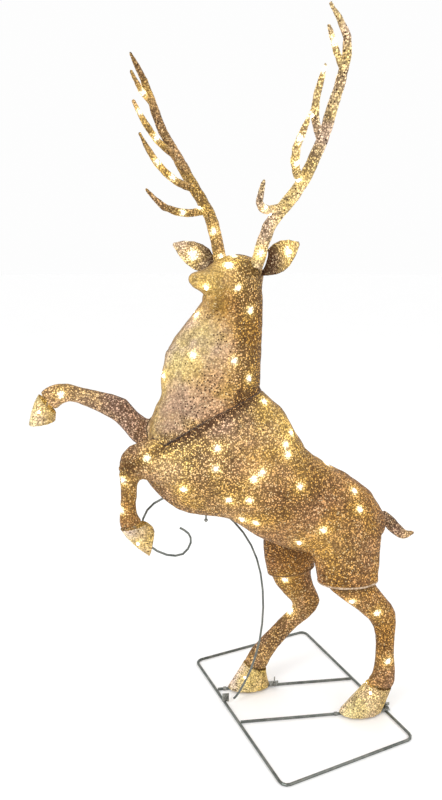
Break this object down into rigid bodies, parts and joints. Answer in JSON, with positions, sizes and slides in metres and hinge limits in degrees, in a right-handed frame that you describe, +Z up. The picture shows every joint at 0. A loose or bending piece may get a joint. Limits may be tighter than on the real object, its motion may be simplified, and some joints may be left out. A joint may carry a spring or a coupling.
{
  "type": "light-up yard reindeer",
  "caption": "Rearing stag of glitter mesh over a wire frame with warm lights, on a flat wire stand with a scroll support rod.",
  "frame": {"origin": "on the ground, under the middle of the object's outline seen from above", "axes": "+Z up; the stag looks along -X and its left side faces -Y; the stand's rectangle is turned 17.5 degrees about Z"},
  "size_m": [1.2018, 0.748, 2.0223],
  "materials": {
    "glitter_mesh": "satin",
    "hoof_mesh": "satin",
    "painted_rod": "satin",
    "zinc_plate": "satin",
    "frame_paint": "satin",
    "light_wire": "gloss"
  },
  "bodies": {
    "root": {"belly_bolt": "zinc_plate", "belly_nut": "zinc_plate", "crossbar_left": "painted_rod", "crossbar_right": "painted_rod", "forehoof_left": "hoof_mesh", "forehoof_right": "hoof_mesh", "foreleg_left_cover": "glitter_mesh", "foreleg_right_cover": "glitter_mesh", "foreleg_rod_left": "frame_paint", "foreleg_rod_right": "frame_paint", "heel_plate_left": "zinc_plate", "heel_plate_right": "zinc_plate", "hind_leg_rod_left": "frame_paint", "hind_leg_rod_right": "frame_paint", "hindhoof_left": "hoof_mesh", "hindhoof_right": "hoof_mesh", "hook_bolt_left": "zinc_plate", "hook_bolt_right": "zinc_plate", "neck_socket_left": "zinc_plate", "neck_socket_right": "zinc_plate", "rump_cover": "glitter_mesh", "shank_left_cover": "glitter_mesh", "shank_right_cover": "glitter_mesh", "shoulder_cover": "glitter_mesh", "stand_frame": "painted_rod", "support_foot_tab": "zinc_plate", "support_rod": "painted_rod", "tail_cover": "glitter_mesh", "thigh_left_cover": "glitter_mesh", "thigh_right_cover": "glitter_mesh", "toe_clip_left": "zinc_plate", "toe_clip_right": "zinc_plate", "torso_frame": "frame_paint", "torso_light_string": "light_wire"},
    "neck_and_head": {"antler_socket_left": "zinc_plate", "antler_socket_right": "zinc_plate", "ear_left": "glitter_mesh", "ear_right": "glitter_mesh", "head_cover": "glitter_mesh", "head_frame": "frame_paint", "neck_cover": "glitter_mesh", "neck_frame": "frame_paint", "neck_light_string": "light_wire", "neck_post_left": "zinc_plate", "neck_post_right": "zinc_plate"},
    "antler_left": {"antler_left": "glitter_mesh", "antler_peg_left": "zinc_plate"},
    "antler_right": {"antler_peg_right": "zinc_plate", "antler_right": "glitter_mesh"},
    "wing_nut_left": {"wing_nut_left": "zinc_plate"},
    "wing_nut_right": {"wing_nut_right": "zinc_plate"}
  },
  "joints": [
    {"name": "neck_lift", "type": "slide", "parent": "root", "child": "neck_and_head", "axis": [-0.47, 0, 0.8827], "range_m": [0, 0.06]},
    {"name": "antler_left_lift", "type": "slide", "parent": "neck_and_head", "child": "antler_left", "axis": [0.3393, -0.1979, 0.9196], "range_m": [0, 0.045]},
    {"name": "antler_right_lift", "type": "slide", "parent": "neck_and_head", "child": "antler_right", "axis": [-0.1979, 0.3393, 0.9196], "range_m": [0, 0.045]},
    {"name": "wing_nut_left_turn", "type": "hinge", "parent": "root", "child": "wing_nut_left", "pos_m": [0.50558, -0.0942, 0.01141], "axis": [0, 0, 1], "continuous": true},
    {"name": "wing_nut_right_turn", "type": "hinge", "parent": "root", "child": "wing_nut_right", "pos_m": [0.16558, 0.0602, 0.01141], "axis": [0, 0, 1], "continuous": true}
  ]
}
